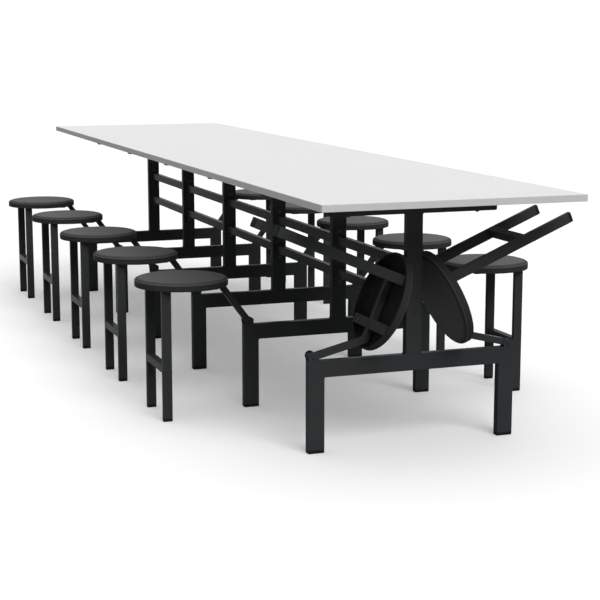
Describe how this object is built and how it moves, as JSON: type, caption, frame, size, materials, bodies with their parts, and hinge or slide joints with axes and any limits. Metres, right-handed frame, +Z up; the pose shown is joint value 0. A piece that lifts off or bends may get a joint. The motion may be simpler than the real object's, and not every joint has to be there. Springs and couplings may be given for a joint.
{
  "type": "canteen table with folding seats",
  "caption": "Long rectangular table on a row of steel bents, with round seats along both sides that fold inwards on hinged frames for cleaning or passage.",
  "frame": {"origin": "on the floor, under the middle of the table top", "axes": "+X along the table's length, +Y across it to the right-hand row of seats, +Z up"},
  "size_m": [3.6, 1.368, 0.76],
  "materials": {
    "table_top": "satin pale grey-white laminate",
    "edging": "grey plastic edging",
    "frame": "satin black powder coat",
    "seat": "dark charcoal moulded plastic",
    "black_plastic": "black plastic caps",
    "pin_steel": "black steel pins"
  },
  "bodies": {
    "table": {"table_top": "table_top", "table_edging": "edging", "bent_1_legs": "frame", "bent_1_spine": "frame", "bent_2_legs": "frame", "bent_2_spine": "frame", "bent_3_legs": "frame", "bent_3_spine": "frame", "bent_4_legs": "frame", "bent_4_spine": "frame", "bent_5_legs": "frame", "bent_5_spine": "frame", "bent_6_legs": "frame", "bent_6_spine": "frame", "spacer_1_2": "frame", "spacer_2_3": "frame", "spacer_3_4": "frame", "spacer_4_5": "frame", "spacer_5_6": "frame", "hinge_pins": "pin_steel", "top_arm_plugs": "black_plastic", "frame_foot_caps": "black_plastic"},
    "left_1_stool": {"left_1_seat": "seat", "left_1_frame": "frame", "left_1_feet": "black_plastic"},
    "left_2_stool": {"left_2_seat": "seat", "left_2_frame": "frame", "left_2_feet": "black_plastic"},
    "left_3_stool": {"left_3_seat": "seat", "left_3_frame": "frame", "left_3_feet": "black_plastic"},
    "left_4_stool": {"left_4_seat": "seat", "left_4_frame": "frame", "left_4_feet": "black_plastic"},
    "left_5_stool": {"left_5_seat": "seat", "left_5_frame": "frame", "left_5_feet": "black_plastic"},
    "left_6_stool": {"left_6_seat": "seat", "left_6_frame": "frame", "left_6_feet": "black_plastic"},
    "right_1_stool": {"right_1_seat": "seat", "right_1_frame": "frame", "right_1_feet": "black_plastic"},
    "right_2_stool": {"right_2_seat": "seat", "right_2_frame": "frame", "right_2_feet": "black_plastic"},
    "right_3_stool": {"right_3_seat": "seat", "right_3_frame": "frame", "right_3_feet": "black_plastic"},
    "right_4_stool": {"right_4_seat": "seat", "right_4_frame": "frame", "right_4_feet": "black_plastic"},
    "right_5_stool": {"right_5_seat": "seat", "right_5_frame": "frame", "right_5_feet": "black_plastic"},
    "right_6_stool": {"right_6_seat": "seat", "right_6_frame": "frame", "right_6_feet": "black_plastic"}
  },
  "joints": [
    {"name": "left_1_fold", "type": "hinge", "parent": "table", "child": "left_1_stool", "pos_m": [1.5, -0.3136, 0.2862], "axis": [-1, 0, 0], "range_deg": [-112.85, 0]},
    {"name": "left_2_fold", "type": "hinge", "parent": "table", "child": "left_2_stool", "pos_m": [0.9, -0.3136, 0.2862], "axis": [-1, 0, 0], "range_deg": [0, 112.85]},
    {"name": "left_3_fold", "type": "hinge", "parent": "table", "child": "left_3_stool", "pos_m": [0.3, -0.3136, 0.2862], "axis": [-1, 0, 0], "range_deg": [0, 112.85]},
    {"name": "left_4_fold", "type": "hinge", "parent": "table", "child": "left_4_stool", "pos_m": [-0.3, -0.3136, 0.2862], "axis": [-1, 0, 0], "range_deg": [0, 112.85]},
    {"name": "left_5_fold", "type": "hinge", "parent": "table", "child": "left_5_stool", "pos_m": [-0.9, -0.3136, 0.2862], "axis": [-1, 0, 0], "range_deg": [0, 112.85]},
    {"name": "left_6_fold", "type": "hinge", "parent": "table", "child": "left_6_stool", "pos_m": [-1.5, -0.3136, 0.2862], "axis": [-1, 0, 0], "range_deg": [0, 112.85]},
    {"name": "right_1_fold", "type": "hinge", "parent": "table", "child": "right_1_stool", "pos_m": [1.5, 0.3136, 0.2862], "axis": [1, 0, 0], "range_deg": [-112.85, 0]},
    {"name": "right_2_fold", "type": "hinge", "parent": "table", "child": "right_2_stool", "pos_m": [0.9, 0.3136, 0.2862], "axis": [1, 0, 0], "range_deg": [0, 112.85]},
    {"name": "right_3_fold", "type": "hinge", "parent": "table", "child": "right_3_stool", "pos_m": [0.3, 0.3136, 0.2862], "axis": [1, 0, 0], "range_deg": [0, 112.85]},
    {"name": "right_4_fold", "type": "hinge", "parent": "table", "child": "right_4_stool", "pos_m": [-0.3, 0.3136, 0.2862], "axis": [1, 0, 0], "range_deg": [0, 112.85]},
    {"name": "right_5_fold", "type": "hinge", "parent": "table", "child": "right_5_stool", "pos_m": [-0.9, 0.3136, 0.2862], "axis": [1, 0, 0], "range_deg": [0, 112.85]},
    {"name": "right_6_fold", "type": "hinge", "parent": "table", "child": "right_6_stool", "pos_m": [-1.5, 0.3136, 0.2862], "axis": [1, 0, 0], "range_deg": [0, 112.85]}
  ]
}
